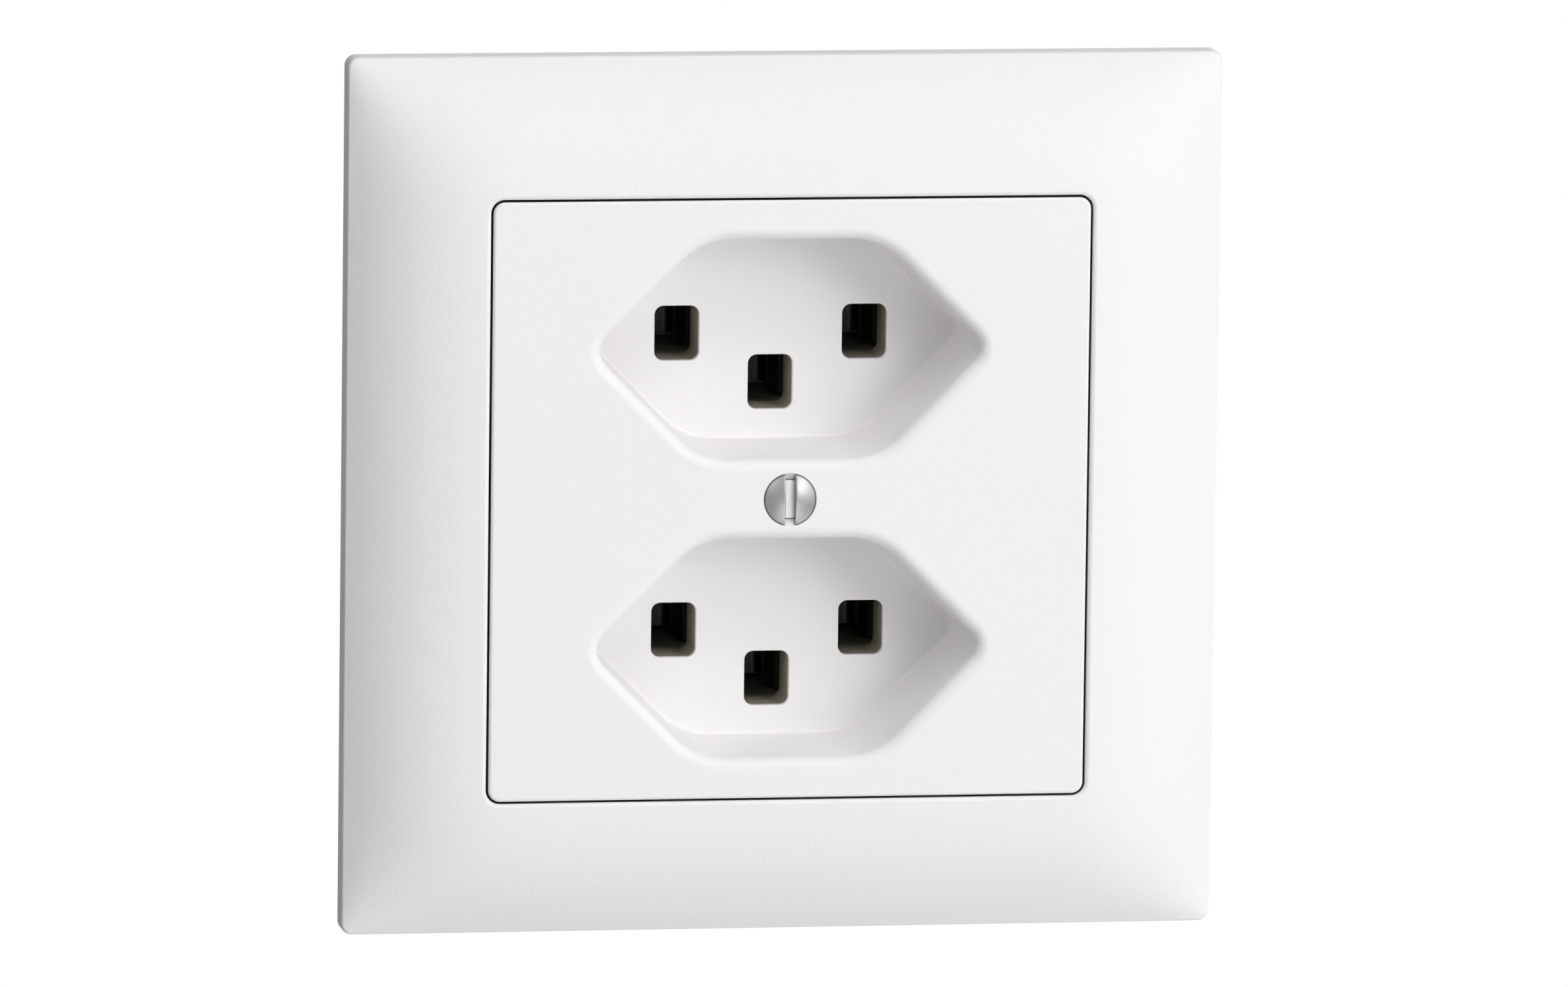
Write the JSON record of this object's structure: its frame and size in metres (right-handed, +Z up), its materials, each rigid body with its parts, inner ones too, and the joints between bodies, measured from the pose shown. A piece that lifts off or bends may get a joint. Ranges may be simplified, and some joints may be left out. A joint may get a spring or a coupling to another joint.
{
  "type": "double wall socket",
  "caption": "Flush wall socket with a square pillow-faced cover frame and a front plate with six-sided plug recesses, on a contact base with wire clamps behind a steel plate.",
  "frame": {"origin": "middle of the box screw pattern, in the wall plane", "axes": "+X to the right seen from the room, +Y into the wall, +Z up"},
  "size_m": [0.088, 0.0382, 0.088],
  "materials": {
    "white_plastic": "fine moulded grain",
    "base_plastic": "pressed olive grey thermoset",
    "screw_steel": "nickel plated",
    "sheet_steel": "zinc plated",
    "rivet_steel": "zinc plated",
    "spring_steel": "bright spring strip",
    "brass": "rolled strip"
  },
  "bodies": {
    "root": {"centre_screw": "screw_steel", "contact_base": "base_plastic", "contact_rivets": "brass", "cover_frame": "white_plastic", "earth_clamp_left": "spring_steel", "earth_clamp_right": "spring_steel", "earth_rail": "brass", "front_plate": "white_plastic", "left_clamp_lower": "spring_steel", "left_clamp_upper": "spring_steel", "left_pole_rail": "brass", "lower_earth_contact": "brass", "lower_left_contact": "brass", "lower_right_contact": "brass", "mounting_plate": "sheet_steel", "plate_rivets": "rivet_steel", "rear_cover": "base_plastic", "rear_cover_screws": "screw_steel", "right_clamp_lower": "spring_steel", "right_clamp_upper": "spring_steel", "right_pole_rail": "brass", "threaded_bush": "brass", "upper_earth_contact": "brass", "upper_left_contact": "brass", "upper_right_contact": "brass"}
  },
  "joints": []
}
